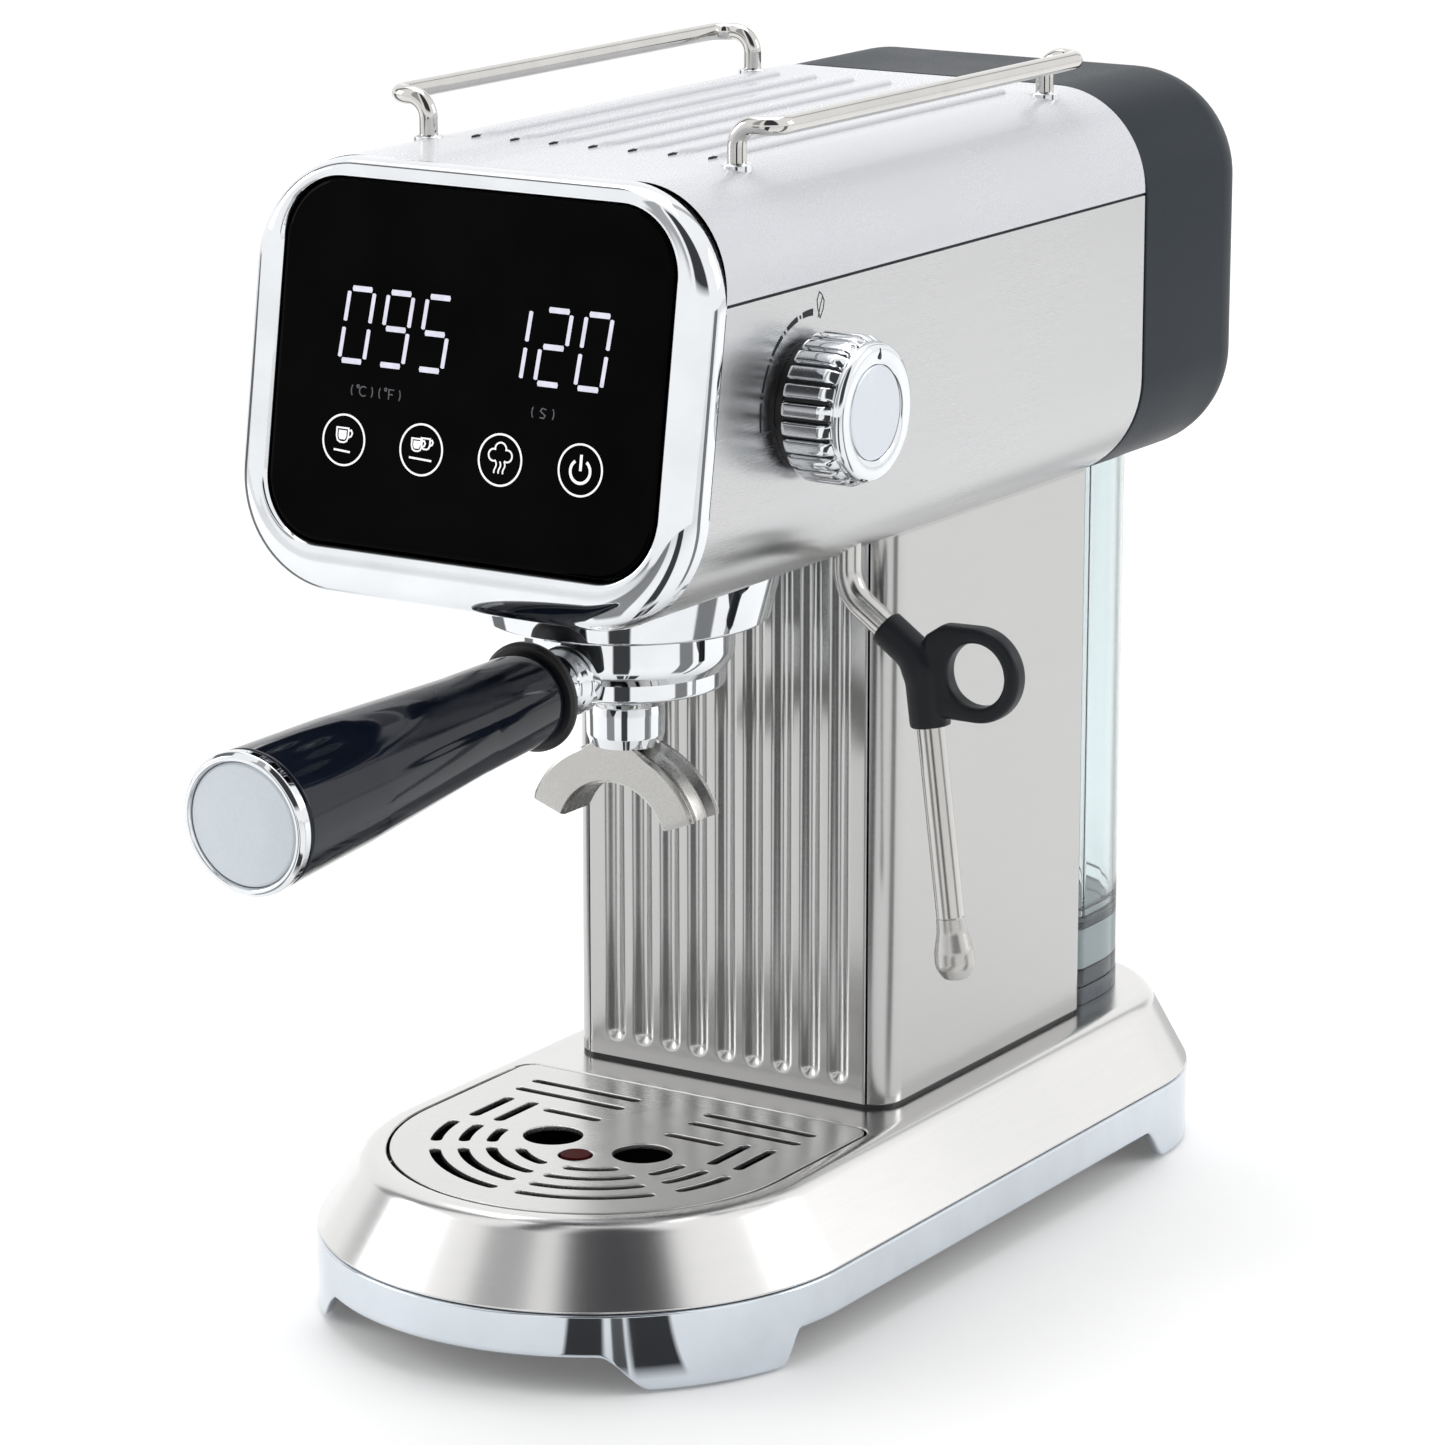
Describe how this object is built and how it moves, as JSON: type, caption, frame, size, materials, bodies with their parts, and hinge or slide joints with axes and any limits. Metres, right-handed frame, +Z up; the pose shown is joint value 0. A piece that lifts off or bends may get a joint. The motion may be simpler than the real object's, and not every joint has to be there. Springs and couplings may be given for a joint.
{
  "type": "espresso machine",
  "caption": "Slim espresso machine with a round-ended drip tray base, fluted column, overhanging head, portafilter, steam wand and rear water tank.",
  "frame": {"origin": "centre of the base's footprint on the worktop", "axes": "+Z up, -Y towards the user (portafilter handle side), +X on the steam knob and wand side"},
  "size_m": [0.1811, 0.39, 0.3211],
  "materials": {
    "chrome": "mirror polished chrome plate",
    "steel": "satin stainless steel",
    "brushed": "fine brushed stainless steel",
    "rubber": "matt black rubber",
    "black_plastic": "fine grained black plastic",
    "red_plastic": "glossy red plastic",
    "white_paint": "satin off-white coat",
    "black_glass": "black back-painted glass",
    "board": "green circuit board",
    "aluminium": "machined aluminium",
    "brass": "turned brass",
    "gloss_black": "gloss black plastic",
    "pale_disc": "pale blue-grey inlay",
    "cap_plastic": "satin slate blue plastic",
    "clear_tank": "clear tinted plastic",
    "clear_hose": "translucent silicone hose"
  },
  "bodies": {
    "machine": {"base_cover": "brushed", "base_plate": "steel", "bezel": "chrome", "chassis_frame": "black_plastic", "control_board": "board", "cord_gland": "black_plastic", "display_board": "board", "ferrule_front_left": "chrome", "ferrule_front_right": "chrome", "ferrule_rear_left": "chrome", "ferrule_rear_right": "chrome", "foot_front_left": "rubber", "foot_front_right": "rubber", "foot_rear_left": "rubber", "foot_rear_right": "rubber", "group_gasket": "rubber", "group_head": "aluminium", "group_shroud": "chrome", "head_back_plate": "black_plastic", "head_shell": "brushed", "inlet_hose": "clear_hose", "knob_ring": "black_plastic", "plinth": "chrome", "pump": "black_plastic", "rail_left": "chrome", "rail_right": "chrome", "roof_cover": "white_paint", "shower_screen": "steel", "shower_screw": "steel", "solenoid_valve": "brass", "steam_pipe": "steel", "steam_valve": "brass", "tank_seat": "cap_plastic", "thermoblock": "aluminium", "touch_glass": "black_glass", "tower_panel": "brushed", "tower_shell": "brushed", "wand_socket": "black_plastic"},
    "knob": {"knob_body": "chrome", "knob_disc": "aluminium", "knob_stem": "steel"},
    "wand": {"wand_swivel": "chrome", "wand_tube": "steel", "wand_grip": "black_plastic", "wand_tip": "steel"},
    "portafilter": {"portafilter_basket": "steel", "portafilter_collar": "gloss_black", "portafilter_cup": "chrome", "portafilter_end_disc": "pale_disc", "portafilter_end_ring": "chrome", "portafilter_handle": "gloss_black", "portafilter_neck": "chrome", "spout_nut": "chrome", "twin_spout": "steel"},
    "tray": {"drip_basin": "black_plastic"},
    "grid": {"drip_grid": "brushed"},
    "float_body": {"float": "red_plastic"},
    "tank": {"water_tank": "clear_tank", "tank_valve": "black_plastic"},
    "cap": {"tank_cap": "cap_plastic"}
  },
  "joints": [
    {"name": "knob_turn", "type": "hinge", "parent": "machine", "child": "knob", "pos_m": [0.0693, -0.0875, 0.25], "axis": [1, 0, 0], "range_deg": [0, 95]},
    {"name": "wand_swing", "type": "hinge", "parent": "machine", "child": "wand", "pos_m": [0.0537, -0.043, 0.215], "axis": [0, 0, 1], "range_deg": [-90, 35]},
    {"name": "portafilter_turn", "type": "hinge", "parent": "machine", "child": "portafilter", "pos_m": [0, -0.066, 0.18], "axis": [0, 0, 1], "range_deg": [-45, 0]},
    {"name": "tray_lift", "type": "slide", "parent": "machine", "child": "tray", "axis": [0, 0, 1], "range_m": [0, 0.05]},
    {"name": "grid_lift", "type": "slide", "parent": "tray", "child": "grid", "axis": [0, 0, 1], "range_m": [0, 0.03]},
    {"name": "float_rise", "type": "slide", "parent": "tray", "child": "float_body", "axis": [0, 0, 1], "range_m": [0, 0.004]},
    {"name": "tank_lift", "type": "slide", "parent": "machine", "child": "tank", "axis": [0, 0, 1], "range_m": [0, 0.26]},
    {"name": "cap_lift", "type": "slide", "parent": "tank", "child": "cap", "axis": [0, 0, 1], "range_m": [0, 0.12]}
  ]
}
